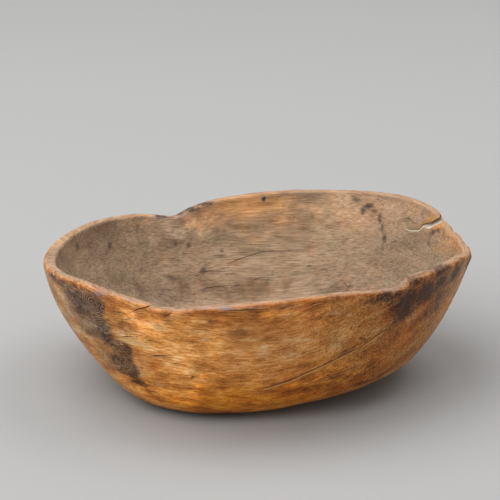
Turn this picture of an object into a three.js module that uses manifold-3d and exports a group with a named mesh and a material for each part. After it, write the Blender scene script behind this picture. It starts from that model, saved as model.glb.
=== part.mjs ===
// A hollowed wooden bowl, carved from one block of timber.
// The block's grain runs along X, so the two ends of the oval show end grain and the long sides show side grain.
// Millimetres, +Z up. The origin is the middle of the bowl's plan, on the surface that it stands on.
// A bearing is measured in degrees from +X towards +Y, seen from above.

import * as THREE from "three";
import { mergeVertices } from "three/addons/utils/BufferGeometryUtils.js";
import Module from "manifold-3d";

// The oval of the rim, seen from above, over its outer edges.
const rimLength = 360;
const rimWidth = 300;
const rimTurn = 5; // degrees that the long axis is turned from +X towards +Y
const rimHeight = 110; // where the crest is neither high nor low
const rimThickness = 10; // of the stoutest stretches of lip, just under the crest
const lipRise = 4; // from the top of the wall to the crest of the rounded lip

// The rim's crest follows the oval, apart from where it swells out or draws in, and it rises and dips.
// Swell is a share of the oval's reach, height of the rim's height, and lip of the rim's thickness.
const rimStations = [
  { bearing: 0, swell: 0, height: 0.973, lip: 0.85 },
  { bearing: 20, swell: 0, height: 1.045, lip: 0.8 },
  { bearing: 30, swell: 0, height: 1.09, lip: 0.8 },
  { bearing: 40, swell: 0, height: 1.097, lip: 0.8 },
  { bearing: 65, swell: 0, height: 1.045, lip: 0.8 },
  { bearing: 90, swell: 0, height: 0.991, lip: 0.8 },
  { bearing: 107, swell: -0.007, height: 0.945, lip: 0.8 },
  { bearing: 115, swell: -0.035, height: 0.912, lip: 0.8 },
  { bearing: 122, swell: -0.048, height: 0.87, lip: 0.8 },
  { bearing: 134, swell: -0.02, height: 0.92, lip: 0.8 },
  { bearing: 153, swell: -0.003, height: 0.953, lip: 0.9 },
  { bearing: 163, swell: 0, height: 0.946, lip: 0.95 },
  { bearing: 182, swell: 0, height: 0.945, lip: 1.1 },
  { bearing: 198, swell: 0, height: 0.99, lip: 1.05 },
  { bearing: 215, swell: 0, height: 1.035, lip: 1 },
  { bearing: 242, swell: 0, height: 1, lip: 0.95 },
  { bearing: 258, swell: 0, height: 1.036, lip: 1 },
  { bearing: 288, swell: 0, height: 1.1, lip: 0.9 },
  { bearing: 311, swell: 0, height: 1.08, lip: 0.9 },
  { bearing: 322, swell: 0, height: 1.109, lip: 1.05 },
  { bearing: 345, swell: 0, height: 1.073, lip: 1 },
];

// The flat that the bowl stands on, worn level, and set a little off the middle.
const footLength = 130;
const footWidth = 110;
const footOffset = { x: -12, y: -22 };

// The wall, from the foot's edge to the rim: how far the underside runs out before it turns up, as a share of
// the way to the rim, and how far it has risen there, how far below the rim the wall stands steep, and how far
// it leans in over that height, each as a share of the crest's height.
const wallStations = [
  { bearing: 0, runOut: 0.58, rise: 0, steep: 0.9, lean: 0.29 },
  { bearing: 45, runOut: 0.5, rise: 0, steep: 0.82, lean: 0.16 },
  { bearing: 90, runOut: 0.44, rise: 0, steep: 0.76, lean: 0.083 },
  { bearing: 135, runOut: 0.32, rise: 0.01, steep: 0.72, lean: 0.04 },
  { bearing: 180, runOut: 0.22, rise: 0.038, steep: 0.65, lean: 0.067 },
  { bearing: 225, runOut: 0.82, rise: 0, steep: 0.86, lean: 0.296 },
  { bearing: 270, runOut: 0.88, rise: 0.043, steep: 0.68, lean: 0.325 },
  { bearing: 315, runOut: 0.8, rise: 0.174, steep: 0.88, lean: 0.282 },
];
const floorThickness = 15; // at the foot's edge
const floorDish = 2; // the floor is hollowed this much deeper in the middle
const thinnedBy = 0.62; // share of the way up the wall at which the floor's thickness has thinned to the lip's

// Stretches of rim that have broken away or worn low: how far the new edge lies below the crest, by bearing.
// A drop below nought is above the crest, where the cut runs out into the air.
const brokenStretches = [
  [
    { bearing: 3, drop: -2 },
    { bearing: 3.8, drop: 0.4 },
    { bearing: 6.8, drop: 3.6 },
    { bearing: 8.2, drop: 3 },
    { bearing: 10, drop: 4 },
    { bearing: 12, drop: 3.8 },
    { bearing: 14, drop: 4.5 },
    { bearing: 16.6, drop: 7.2 },
    { bearing: 17.8, drop: 4.6 },
    { bearing: 20.8, drop: 3.6 },
    { bearing: 22.8, drop: 4.2 },
    { bearing: 23.4, drop: -2 },
  ],
  [
    { bearing: 237.4, drop: -2 },
    { bearing: 237.8, drop: 2 },
    { bearing: 244, drop: 1.2 },
    { bearing: 244.4, drop: 2.2 },
    { bearing: 257, drop: -1 },
  ],
  [
    { bearing: 298, drop: -1 },
    { bearing: 310, drop: 1.5 },
    { bearing: 318.3, drop: 3.5 },
    { bearing: 319, drop: -2 },
  ],
];

// Splits along the grain, each a wedge of missing wood that narrows along the wall from the rim.
// The outline is square to the split: distance across it, and depth into the wood from the face it opens on.
// A stop lies at a bearing and a share of the way from the foot's edge to the rim, with a size and a sidestep.
const flakedSplit = {
  face: "inside",
  outline: [
    [0.2, 3],
    [1.6, -1.5],
    [-9, -1.5],
    [-1.5, 4],
    [5, 5],
  ],
  stops: [
    { bearing: 19.5, share: 1.07, size: 1.1, sidestep: 0 },
    { bearing: 22.3, share: 1, size: 1, sidestep: 0 },
    { bearing: 25, share: 0.97, size: 0.85, sidestep: 0.4 },
    { bearing: 27.6, share: 0.952, size: 0.6, sidestep: 0.6 },
    { bearing: 28.8, share: 0.935, size: 0.5, sidestep: -0.8 },
    { bearing: 32, share: 0.917, size: 0.3, sidestep: 0 },
    { bearing: 34.5, share: 0.915, size: 0.08, sidestep: 0 },
  ],
};
const tongueOutline = [
  [0.8, -1.5],
  [-0.8, -1.5],
  [-2.2, 5],
];
const upperTongue = {
  face: "outside",
  outline: tongueOutline,
  stops: [
    { bearing: 239, share: 1.06, size: 1, sidestep: 0 },
    { bearing: 237.2, share: 1.01, size: 0.9, sidestep: 0 },
    { bearing: 234, share: 0.995, size: 0.7, sidestep: 0 },
    { bearing: 230, share: 0.965, size: 0.15, sidestep: 0 },
  ],
};
const lowerTongue = {
  face: "outside",
  outline: tongueOutline,
  stops: [
    { bearing: 246, share: 1.05, size: 0.9, sidestep: 0 },
    { bearing: 244, share: 1, size: 0.8, sidestep: 0 },
    { bearing: 240.5, share: 0.975, size: 0.12, sidestep: 0 },
  ],
};

const outerRows = 22;
const innerRows = 18;
const lipRows = 6;
const footRows = 3;
const floorRows = 5;
const columns = 96;

const radians = THREE.MathUtils.degToRad;

// A smooth closed course through values set at bearings round the bowl.
function around(stations, key) {
  const count = stations.length;
  return (bearing) => {
    const turn = THREE.MathUtils.euclideanModulo(bearing, 360);
    let next = stations.findIndex((station) => station.bearing > turn);
    if (next < 0) next = count;
    const at = (k) => {
      const lap = Math.floor(k / count);
      const station = stations[k - lap * count];
      return { bearing: station.bearing + lap * 360, value: station[key] };
    };
    const [p0, p1, p2, p3] = [next - 2, next - 1, next, next + 1].map(at);
    const slope1 = (p2.value - p0.value) / (p2.bearing - p0.bearing);
    const slope2 = (p3.value - p1.value) / (p3.bearing - p1.bearing);
    const gap = p2.bearing - p1.bearing;
    const t = (turn - p1.bearing) / gap;
    const blend = t * t * (3 - 2 * t);
    const leave = t * (1 - t) * (1 - t) * gap * slope1;
    const arrive = t * t * (1 - t) * gap * slope2;
    return p1.value * (1 - blend) + p2.value * blend + leave - arrive;
  };
}

const swell = around(rimStations, "swell");
const crest = around(rimStations, "height");
const lip = around(rimStations, "lip");
const runOut = around(wallStations, "runOut");
const rise = around(wallStations, "rise");
const steep = around(wallStations, "steep");
const lean = around(wallStations, "lean");

// How far an oval's edge is from the origin, along a bearing.
function ovalReach(bearing, length, width, turn = 0, centre = { x: 0, y: 0 }) {
  const along = radians(bearing - turn);
  const [a, b] = [length / 2, width / 2];
  const [c, s] = [Math.cos(along), Math.sin(along)];
  const square = (c / a) ** 2 + (s / b) ** 2;
  const half = (c * centre.x) / a ** 2 + (s * centre.y) / b ** 2;
  const rest = (centre.x / a) ** 2 + (centre.y / b) ** 2 - 1;
  return (half + Math.sqrt(half * half - square * rest)) / square;
}

const rimReach = (bearing) => ovalReach(bearing, rimLength, rimWidth, rimTurn) * (1 + swell(bearing));
const crestHeight = (bearing) => rimHeight * crest(bearing);
const footReach = (bearing) => ovalReach(bearing, footLength, footWidth, 0, footOffset);

// A point or direction in the upright plane of one bearing.
const inPlane = (bearing, reach, height) =>
  new THREE.Vector3(reach * Math.cos(radians(bearing)), reach * Math.sin(radians(bearing)), height);

// The outside of the wall in the plane of one bearing, as reach and height.
function wallCurve(bearing) {
  const reach = rimReach(bearing);
  const foot = footReach(bearing);
  const height = crestHeight(bearing);
  const top = height - lipRise;
  return new THREE.CubicBezierCurve(
    new THREE.Vector2(foot, 0),
    new THREE.Vector2(foot + (reach - foot) * runOut(bearing), height * Math.max(0, rise(bearing))),
    new THREE.Vector2(reach - height * lean(bearing), top * (1 - steep(bearing))),
    new THREE.Vector2(reach, top),
  );
}

const wallThickness = (bearing, share) =>
  THREE.MathUtils.lerp(floorThickness, rimThickness * lip(bearing), Math.min(1, share / thinnedBy));

// One section of the bowl, as a run of points from the middle of the foot, up the outside, over the lip,
// down the inside and back to the middle of the floor.
function section(bearing) {
  const curve = wallCurve(bearing);
  const foot = footReach(bearing);
  const points = [];
  for (let k = 1; k < footRows; k++) points.push([(foot * k) / footRows, 0]);
  for (let k = 0; k <= outerRows; k++) {
    const p = curve.getPoint(k / outerRows);
    points.push([p.x, p.y]);
  }
  // The inside is the outside moved in by the wall's thickness, and comes level with it under the lip.
  const inside = (share) => {
    const p = curve.getPoint(share);
    const along = curve.getTangent(share);
    const thick = wallThickness(bearing, share);
    return [p.x - along.y * thick, p.y + along.x * thick * (1 - share ** 6)];
  };
  const outerEdge = curve.getPoint(1);
  const innerEdge = inside(1);
  const squareness = 0.65; // 1 would round the lip as an ellipse, and less makes it flatter on top
  for (let k = 1; k < lipRows; k++) {
    const angle = (Math.PI * k) / lipRows;
    const across = 0.5 + 0.5 * Math.sign(Math.cos(angle)) * Math.abs(Math.cos(angle)) ** squareness;
    points.push([
      innerEdge[0] + (outerEdge.x - innerEdge[0]) * across,
      innerEdge[1] + (outerEdge.y - innerEdge[1]) * across + lipRise * Math.sin(angle) ** squareness,
    ]);
  }
  for (let k = innerRows; k >= 0; k--) points.push(inside(k / innerRows));
  for (let k = floorRows - 1; k > 0; k--) {
    const share = k / floorRows;
    points.push([foot * share, floorThickness - floorDish * (1 - share * share)]);
  }
  return points;
}

function meshOf(positions, index) {
  const geometry = new THREE.BufferGeometry();
  geometry.setAttribute("position", new THREE.Float32BufferAttribute(positions, 3));
  geometry.setIndex(index);
  return geometry;
}

// The whole bowl before any damage: sections side by side all round, joined at one point under the foot
// and one on the floor.
function carvedGeometry() {
  const positions = [0, 0, 0, 0, 0, floorThickness - floorDish];
  const [underside, floor] = [0, 1];
  const sections = [];
  for (let c = 0; c < columns; c++) {
    const bearing = (360 * c) / columns;
    sections.push(
      section(bearing).map(([reach, height]) => {
        positions.push(...inPlane(bearing, reach, height));
        return positions.length / 3 - 1;
      }),
    );
  }
  const index = [];
  sections.forEach((here, c) => {
    const next = sections[(c + 1) % columns];
    const last = here.length - 1;
    index.push(underside, next[0], here[0]);
    for (let k = 0; k < last; k++) {
      index.push(here[k], next[k], next[k + 1]);
      index.push(here[k], next[k + 1], here[k + 1]);
    }
    index.push(floor, here[last], next[last]);
  });
  return meshOf(positions, index);
}

// What a broken stretch takes off the rim: a block above the new edge, right through the wall.
function breakGeometry(edge) {
  const [first, last] = [edge[0].bearing, edge.at(-1).bearing];
  const middle = (first + last) / 2;
  const reachIn = 60; // inwards and outwards from the rim, well past both faces of the wall
  const clearance = 20; // above the highest point of the crest
  const alongRim = (bearing) => rimReach(bearing) * Math.sin(radians(bearing - middle));
  const top = rimHeight * Math.max(...rimStations.map((station) => station.height)) + clearance;
  const shape = new THREE.Shape(
    edge.map(({ bearing, drop }) => new THREE.Vector2(alongRim(bearing), crestHeight(bearing) - drop)),
  );
  shape.lineTo(alongRim(last), top);
  shape.lineTo(alongRim(first), top);
  const geometry = new THREE.ExtrudeGeometry(shape, { depth: 2 * reachIn, bevelEnabled: false });
  geometry.translate(0, 0, rimReach(middle) - reachIn);
  const alongAxis = inPlane(middle + 90, 1, 0);
  const outAxis = inPlane(middle, 1, 0);
  return geometry.applyMatrix4(new THREE.Matrix4().makeBasis(alongAxis, new THREE.Vector3(0, 0, 1), outAxis));
}

// What a split takes out of the wall: its outline, set square to the split at each stop and joined up.
function splitGeometry({ face, outline, stops }) {
  const seats = stops.map(({ bearing, share }) => {
    const curve = wallCurve(bearing);
    const along = curve.getTangent(Math.min(1, share));
    const outward = inPlane(bearing, along.y, -along.x);
    const thick = face === "inside" ? wallThickness(bearing, share) : 0;
    const p = curve.getPoint(share);
    return {
      point: inPlane(bearing, p.x, p.y).addScaledVector(outward, -thick),
      into: outward.multiplyScalar(face === "inside" ? 1 : -1),
    };
  });
  const last = stops.length - 1;
  const positions = [];
  stops.forEach(({ size, sidestep }, k) => {
    const { point, into } = seats[k];
    const course = seats[Math.min(k + 1, last)].point.clone().sub(seats[Math.max(k - 1, 0)].point);
    const across = new THREE.Vector3().crossVectors(into, course).normalize();
    for (const [side, depth] of outline) {
      const corner = point.clone().addScaledVector(across, side * size + sidestep);
      positions.push(...corner.addScaledVector(into, depth * size));
    }
  });
  const count = outline.length;
  const index = [];
  for (let k = 0; k < last; k++) {
    for (let j = 0; j < count; j++) {
      const [a, b] = [k * count + j, k * count + ((j + 1) % count)];
      index.push(a, b + count, b, a, a + count, b + count);
    }
  }
  const contour = outline.map(([side, depth]) => new THREE.Vector2(side, depth));
  for (const [a, b, c] of THREE.ShapeUtils.triangulateShape(contour, [])) {
    index.push(c, b, a, a + last * count, b + last * count, c + last * count);
  }
  return meshOf(positions, index);
}

const wasm = await Module();
wasm.setup();

function solidOf(geometry) {
  const bare = meshOf(geometry.getAttribute("position").array, geometry.getIndex() && [...geometry.getIndex().array]);
  const merged = mergeVertices(bare);
  return new wasm.Manifold(
    new wasm.Mesh({
      numProp: 3,
      vertProperties: new Float32Array(merged.getAttribute("position").array),
      triVerts: new Uint32Array(merged.getIndex().array),
    }),
  );
}

function bowlGeometry() {
  const cutters = [
    ...brokenStretches.map(breakGeometry),
    ...[flakedSplit, upperTongue, lowerTongue].map(splitGeometry),
  ];
  const solid = cutters.reduce((rest, cutter) => rest.subtract(solidOf(cutter)), solidOf(carvedGeometry()));
  const { vertProperties, triVerts } = solid.getMesh();
  const geometry = meshOf(vertProperties, [...triVerts]);
  geometry.computeVertexNormals();
  return geometry;
}

const wood = new THREE.MeshStandardMaterial({ color: 0xa9713f, roughness: 0.6, metalness: 0 });

const bowl = new THREE.Mesh(bowlGeometry(), wood);
bowl.name = "bowl";

const part = new THREE.Group();
part.add(bowl);
export default part;
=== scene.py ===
import math

import bpy
import numpy as np
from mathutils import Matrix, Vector, kdtree, noise


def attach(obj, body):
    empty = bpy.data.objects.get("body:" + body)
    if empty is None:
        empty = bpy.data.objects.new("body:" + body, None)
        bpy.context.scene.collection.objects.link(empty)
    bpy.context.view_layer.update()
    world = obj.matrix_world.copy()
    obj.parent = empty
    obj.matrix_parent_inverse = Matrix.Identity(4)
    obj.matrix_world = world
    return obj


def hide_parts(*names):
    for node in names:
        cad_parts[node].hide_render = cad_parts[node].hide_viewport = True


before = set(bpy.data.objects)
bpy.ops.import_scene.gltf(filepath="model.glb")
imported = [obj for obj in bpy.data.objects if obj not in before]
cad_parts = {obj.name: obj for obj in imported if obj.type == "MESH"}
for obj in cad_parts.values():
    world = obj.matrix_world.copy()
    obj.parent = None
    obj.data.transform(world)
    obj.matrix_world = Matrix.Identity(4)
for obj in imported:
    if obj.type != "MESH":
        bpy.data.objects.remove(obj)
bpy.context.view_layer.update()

# The bowl is one block of timber, hollowed and shaped by hand, with the grain along X. Its form is a fan of
# upright sections, one for each bearing, counted in degrees from +X towards +Y. Each section runs from the
# middle of the foot, up the outside, over the lip, down the inside and back to the middle of the floor.
RIM_LENGTH = 0.360
RIM_WIDTH = 0.300
RIM_TURN = 5.0
RIM_HEIGHT = 0.110
RIM_THICKNESS = 0.010
LIP_RISE = 0.004
FOOT_LENGTH = 0.130
FOOT_WIDTH = 0.110
FOOT_OFFSET = (-0.012, -0.022)
FLOOR_THICKNESS = 0.015
FLOOR_DISH = 0.002

# The wall has thinned to the lip by this share of its way up, and a higher power keeps the inside square to
# the wall for longer before it comes level under the lip.
THINNED_BY = 0.62
LEVELLING_POWER = 6

# Bearing, swell of the oval, height of the crest and thickness of the lip, as shares of the sizes above.
RIM_STATIONS = np.array([
    (0, 0, 0.973, 0.85),
    (20, 0, 1.045, 0.8),
    (30, 0, 1.09, 0.8),
    (40, 0, 1.097, 0.8),
    (65, 0, 1.045, 0.8),
    (90, 0, 0.991, 0.8),
    (107, -0.007, 0.945, 0.8),
    (115, -0.035, 0.912, 0.8),
    (122, -0.048, 0.87, 0.8),
    (134, -0.02, 0.92, 0.8),
    (153, -0.003, 0.953, 0.9),
    (163, 0, 0.946, 0.95),
    (182, 0, 0.945, 1.1),
    (198, 0, 0.99, 1.05),
    (215, 0, 1.035, 1),
    (242, 0, 1, 0.95),
    (258, 0, 1.036, 1),
    (288, 0, 1.1, 0.9),
    (311, 0, 1.08, 0.9),
    (322, 0, 1.109, 1.05),
    (345, 0, 1.073, 1),
])

# Bearing, run out under the bowl, rise there, how far down the wall stands steep, and its lean.
WALL_STATIONS = np.array([
    (0, 0.58, 0, 0.9, 0.29),
    (45, 0.5, 0, 0.82, 0.16),
    (90, 0.44, 0, 0.76, 0.083),
    (135, 0.32, 0.01, 0.72, 0.04),
    (180, 0.22, 0.038, 0.65, 0.067),
    (225, 0.82, 0, 0.86, 0.296),
    (270, 0.88, 0.043, 0.68, 0.325),
    (315, 0.8, 0.174, 0.88, 0.282),
])

# Bearing and drop in metres of the edge where the rim has broken away or worn low.
WORN_EDGE = np.array([
    (3.5, 0),
    (6.8, 0.0036),
    (8.2, 0.003),
    (10, 0.004),
    (12, 0.0038),
    (14, 0.0045),
    (16.6, 0.0072),
    (17.8, 0.0046),
    (20.8, 0.0036),
    (22.4, 0.0042),
    (23.6, 0.0012),
    (24.4, 0),
    (237.2, 0),
    (237.9, 0.002),
    (244, 0.0012),
    (244.7, 0.0022),
    (253, 0),
    (302, 0),
    (310, 0.0015),
    (316.4, 0.0035),
    (317.4, 0),
])


def around(stations, column):
    """A smooth closed course through values set at bearings."""
    bearings = stations[:, 0]
    values = stations[:, column]
    count = len(stations)

    def course(bearing):
        turn = np.mod(bearing, 360)
        after = np.searchsorted(bearings, turn, side="right")
        known = []
        for step in (-2, -1, 0, 1):
            k = after + step
            lap = k // count
            known.append((bearings[k - lap * count] + 360 * lap, values[k - lap * count]))
        (b0, v0), (b1, v1), (b2, v2), (b3, v3) = known
        t = (turn - b1) / (b2 - b1)
        blend = t * t * (3 - 2 * t)
        leave = t * (1 - t) ** 2 * (b2 - b1) * (v2 - v0) / (b2 - b0)
        arrive = t * t * (1 - t) * (b2 - b1) * (v3 - v1) / (b3 - b1)
        return v1 * (1 - blend) + v2 * blend + leave - arrive

    return course


def oval_reach(bearing, length, width, turn=0.0, centre=(0.0, 0.0)):
    """How far an oval's edge is from the origin, along a bearing."""
    along = np.radians(bearing - turn)
    a = length / 2
    b = width / 2
    square = (np.cos(along) / a) ** 2 + (np.sin(along) / b) ** 2
    half = np.cos(along) * centre[0] / a**2 + np.sin(along) * centre[1] / b**2
    rest = (centre[0] / a) ** 2 + (centre[1] / b) ** 2 - 1
    return (half + np.sqrt(half**2 - square * rest)) / square


swell = around(RIM_STATIONS, 1)
crest = around(RIM_STATIONS, 2)
lip = around(RIM_STATIONS, 3)
run_out = around(WALL_STATIONS, 1)
rise = around(WALL_STATIONS, 2)
steep = around(WALL_STATIONS, 3)
lean = around(WALL_STATIONS, 4)


def rim_reach(bearing):
    return oval_reach(bearing, RIM_LENGTH, RIM_WIDTH, RIM_TURN) * (1 + swell(bearing))


def wall_point(bearing, share, worn=0.0):
    """Reach, height and direction of the outside of the wall, a share of the way from foot to rim."""
    foot = oval_reach(bearing, FOOT_LENGTH, FOOT_WIDTH, 0.0, FOOT_OFFSET)
    reach = rim_reach(bearing)
    height = RIM_HEIGHT * crest(bearing)
    top = height - LIP_RISE - worn
    corners = [
        (foot, 0 * foot),
        (foot + (reach - foot) * run_out(bearing), height * np.maximum(0, rise(bearing))),
        (reach - height * lean(bearing), top * (1 - steep(bearing))),
        (reach, top),
    ]
    rest = 1 - share
    weights = (rest**3, 3 * rest**2 * share, 3 * rest * share**2, share**3)
    slopes = (-3 * rest**2, 3 * rest**2 - 6 * rest * share, 6 * rest * share - 3 * share**2, 3 * share**2)
    place = [sum(w * corner[k] for w, corner in zip(weights, corners)) for k in (0, 1)]
    course = [sum(s * corner[k] for s, corner in zip(slopes, corners)) for k in (0, 1)]
    length = np.hypot(*course)
    return place[0], place[1], course[0] / length, course[1] / length


def wall_thickness(bearing, share):
    thinned = np.minimum(1, share / THINNED_BY)
    return FLOOR_THICKNESS + (RIM_THICKNESS * lip(bearing) - FLOOR_THICKNESS) * thinned


def inner_point(bearing, share, worn=0.0):
    """The inside is the outside moved in by the wall's thickness, and comes level with it under the lip."""
    reach, height, out, up = wall_point(bearing, share, worn)
    thick = wall_thickness(bearing, share)
    return reach - up * thick, height + out * thick * (1 - share**LEVELLING_POWER)


COLUMNS = 520
FOOT_ROWS = 6
OUTER_ROWS = 80
LIP_ROWS = 14
INNER_ROWS = 66
FLOOR_ROWS = 13
LIP_ROUNDNESS = 0.65
SQUARE_WHERE_WORN = 0.003
FAR_FROM_CREST = 0.2

bearings = np.arange(COLUMNS) * 360 / COLUMNS
worn = np.interp(bearings, WORN_EDGE[:, 0], WORN_EDGE[:, 1], period=360)
foot_edge = oval_reach(bearings, FOOT_LENGTH, FOOT_WIDTH, 0.0, FOOT_OFFSET)
rows = []
inside = []
for k in range(1, FOOT_ROWS):
    rows.append((foot_edge * k / FOOT_ROWS, 0 * foot_edge))
    inside.append(0.0)
for k in range(OUTER_ROWS + 1):
    rows.append(wall_point(bearings, k / OUTER_ROWS, worn)[:2])
    inside.append(0.0)
outer_edge = rows[-1]
inner_edge = inner_point(bearings, 1.0, worn)
squareness = LIP_ROUNDNESS + (1 - LIP_ROUNDNESS) * np.clip(worn / SQUARE_WHERE_WORN, 0, 1)
for k in range(1, LIP_ROWS):
    angle = math.pi * k / LIP_ROWS
    across = 0.5 + 0.5 * np.sign(math.cos(angle)) * abs(math.cos(angle)) ** squareness
    lifted = LIP_RISE * math.sin(angle) ** squareness
    rows.append((
        inner_edge[0] + (outer_edge[0] - inner_edge[0]) * across,
        inner_edge[1] + (outer_edge[1] - inner_edge[1]) * across + lifted,
    ))
    inside.append(k / LIP_ROWS)
for k in range(INNER_ROWS, -1, -1):
    rows.append(inner_point(bearings, k / INNER_ROWS, worn))
    inside.append(1.0)
for k in range(FLOOR_ROWS - 1, 0, -1):
    share = k / FLOOR_ROWS
    rows.append((foot_edge * share, FLOOR_THICKNESS - FLOOR_DISH * (1 - share**2) + 0 * foot_edge))
    inside.append(1.0)

spokes = np.array([np.cos(np.radians(bearings)), np.sin(np.radians(bearings))])
grid = np.array([(reach * spokes[0], reach * spokes[1], height) for reach, height in rows])
grid = grid.transpose(0, 2, 1)
row_count = len(rows)
points = np.concatenate([grid.reshape(-1, 3), [(0, 0, 0), (0, 0, FLOOR_THICKNESS - FLOOR_DISH)]])
crest_row = FOOT_ROWS - 1 + OUTER_ROWS + LIP_ROWS // 2
run = np.linalg.norm(np.diff(grid, axis=0), axis=2)
run = np.concatenate([np.zeros((1, COLUMNS)), np.cumsum(run, axis=0)])
below = np.abs(run - run[crest_row])
below = np.append(below.ravel(), (FAR_FROM_CREST, FAR_FROM_CREST))
inside = np.append(np.repeat(inside, COLUMNS), (0.0, 1.0))

first = np.arange(row_count - 1)[:, None] * COLUMNS
here = np.arange(COLUMNS)[None, :]
beside = (here + 1) % COLUMNS
quads = np.stack([first + here, first + beside, first + COLUMNS + beside, first + COLUMNS + here], -1)
quads = quads.reshape(-1, 4)
foot_centre = row_count * COLUMNS
floor_centre = foot_centre + 1
last_row = (row_count - 1) * COLUMNS
faces = quads.tolist()
faces += [(foot_centre, int(b), int(a)) for a, b in zip(here[0], beside[0])]
faces += [(floor_centre, int(last_row + a), int(last_row + b)) for a, b in zip(here[0], beside[0])]


def add_object(name, data):
    """Puts an object with this mesh, lamp or camera in the scene."""
    made = bpy.data.objects.new(name, data)
    bpy.context.scene.collection.objects.link(made)
    return made


block = bpy.data.meshes.new("hollowed_block")
block.from_pydata(points.tolist(), [], faces)
block.update()
bowl = add_object("carved_bowl", block)
wood = bpy.data.materials.new("carved_wood")
block.materials.append(wood)


# Drying has split the wall along the grain. One split at the rear of the long end has lost a wedge of wood,
# and two thin tongues lift from the rim at the front left. Each split is a wedge cut out of the block, with
# faces of four kinds: plain wood, pale torn wood, a worn edge, and the shadowed gap at the back of the split.
PLAIN = 0
TORN = 1
WORN_FACE = 2
GAP = 3
MILLIMETRE = 0.001

# Corners of each wedge across the split and into the wall, in millimetres. Then its stops along the rim: the
# bearing, the share of the way up the wall, the size of the wedge there, and how far it is moved across.
SPLIT_OUTLINE = [(0.4, 3), (2.8, -1.5), (-11, -1.5), (-2, 4), (5, 5)]
SPLIT_FACES = [WORN_FACE, PLAIN, TORN, GAP, GAP]
SPLIT_STOPS = [
    (19.5, 1.07, 1.4, 0),
    (22.3, 1, 1.3, 0),
    (25, 0.97, 1, 0.4),
    (27.6, 0.952, 0.6, 0.6),
    (28.8, 0.935, 0.5, -0.8),
    (32, 0.917, 0.3, 0),
    (34.5, 0.915, 0.08, 0),
]
TONGUE_OUTLINE = [(0.8, -1.5), (-0.8, -1.5), (-2.2, 5)]
TONGUE_FACES = [PLAIN, PLAIN, PLAIN]
UPPER_TONGUE_STOPS = [
    (239, 1.06, 1, 0),
    (237.2, 1.01, 0.9, 0),
    (234, 0.995, 0.7, 0),
    (230, 0.965, 0.15, 0),
]
LOWER_TONGUE_STOPS = [(246, 1.05, 0.9, 0), (244, 1, 0.8, 0), (240.5, 0.975, 0.12, 0)]


def cut_split(name, outline, kinds, stops, from_inside):
    """Takes a wedge of wood out of the wall: the outline, set square to the split at each stop."""
    seats = []
    inwards = []
    for bearing, share, *_ in stops:
        reach, height, out, up = wall_point(bearing, share)
        spoke = Vector((math.cos(math.radians(bearing)), math.sin(math.radians(bearing)), 0))
        outward = spoke * up + Vector((0, 0, -out))
        thick = wall_thickness(bearing, share) if from_inside else 0
        seats.append(spoke * reach + Vector((0, 0, height)) - outward * thick)
        inwards.append(outward if from_inside else -outward)
    count = len(outline)
    last = len(stops) - 1
    corners = []
    for k, (*_, size, sidestep) in enumerate(stops):
        course = seats[min(k + 1, last)] - seats[max(k - 1, 0)]
        across = inwards[k].cross(course).normalized()
        for side, depth in outline:
            shift = across * (side * size + sidestep) + inwards[k] * depth * size
            corners.append(seats[k] + shift * MILLIMETRE)
    sides = []
    for k in range(last):
        for j in range(count):
            a = k * count + j
            b = k * count + (j + 1) % count
            sides.append((a, a + count, b + count, b))
    sides.append(tuple(range(count)))
    sides.append(tuple(last * count + j for j in reversed(range(count))))
    wedge = bpy.data.meshes.new(name)
    wedge.from_pydata(corners, [], sides)
    wedge.materials.append(wood)
    face_kinds = kinds * last + [PLAIN, PLAIN]
    wedge.attributes.new("cut_face", "FLOAT", "FACE").data.foreach_set("value", face_kinds)
    cutter = add_object(name, wedge)
    cut = bowl.modifiers.new(name, "BOOLEAN")
    cut.operation = "DIFFERENCE"
    cut.solver = "EXACT"
    cut.object = cutter
    return cutter


cutters = [
    cut_split("flaked_split", SPLIT_OUTLINE, SPLIT_FACES, SPLIT_STOPS, True),
    cut_split("upper_tongue", TONGUE_OUTLINE, TONGUE_FACES, UPPER_TONGUE_STOPS, False),
    cut_split("lower_tongue", TONGUE_OUTLINE, TONGUE_FACES, LOWER_TONGUE_STOPS, False),
]


def settle(piece, name):
    """The piece's modifiers become part of its mesh."""
    depsgraph = bpy.context.evaluated_depsgraph_get()
    settled = bpy.data.meshes.new_from_object(piece.evaluated_get(depsgraph))
    settled.name = name
    piece.modifiers.clear()
    piece.data = settled


settle(bowl, "split_block")
for cutter in cutters:
    bpy.data.objects.remove(cutter)


def keep_on_surface(label, values):
    """Stores a value at each point of the bowl, for the carving and the material to read."""
    bowl.data.attributes.new(label, "FLOAT", "POINT").data.foreach_set("value", values)


uncut_points = kdtree.KDTree(len(points))
for k, point in enumerate(points):
    uncut_points.insert(point, k)
uncut_points.balance()
nearest = [uncut_points.find(vertex.co)[1] for vertex in bowl.data.vertices]
keep_on_surface("inside", inside[nearest])
keep_on_surface("below_crest", below[nearest])


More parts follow.
